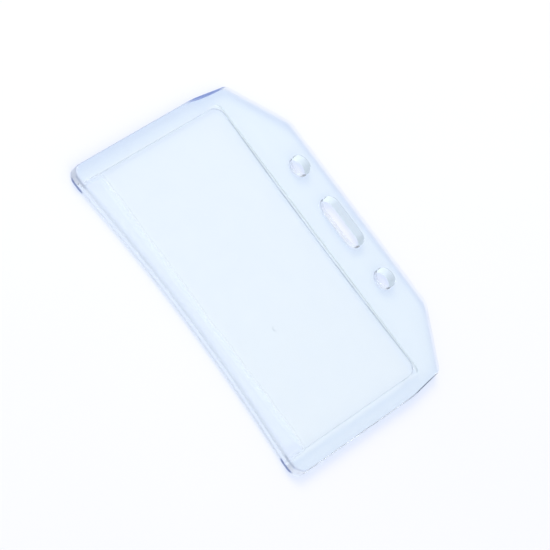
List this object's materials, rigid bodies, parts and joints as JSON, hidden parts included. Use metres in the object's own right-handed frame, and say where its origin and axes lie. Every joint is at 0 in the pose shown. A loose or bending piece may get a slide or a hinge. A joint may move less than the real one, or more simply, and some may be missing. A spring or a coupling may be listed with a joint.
{
  "type": "card holder",
  "caption": "Clear horizontal card holder with a recessed window, an arched mouth for the card, and a tapered header with a strap slot between round holes.",
  "frame": {"origin": "centre of the overall footprint, on the plane of the flat back", "axes": "+X along the long side, +Y from the card mouth towards the header, +Z out of the front face"},
  "size_m": [0.101, 0.08, 0.003],
  "materials": {
    "clear_sheet": "thin clear plastic sheet with a faint blue tint, smooth",
    "clear_moulding": "clear moulded plastic with a faint blue tint, glossy with fine handling marks"
  },
  "bodies": {
    "root": {"rear_panel": "clear_sheet", "front_shell": "clear_moulding"}
  },
  "joints": []
}
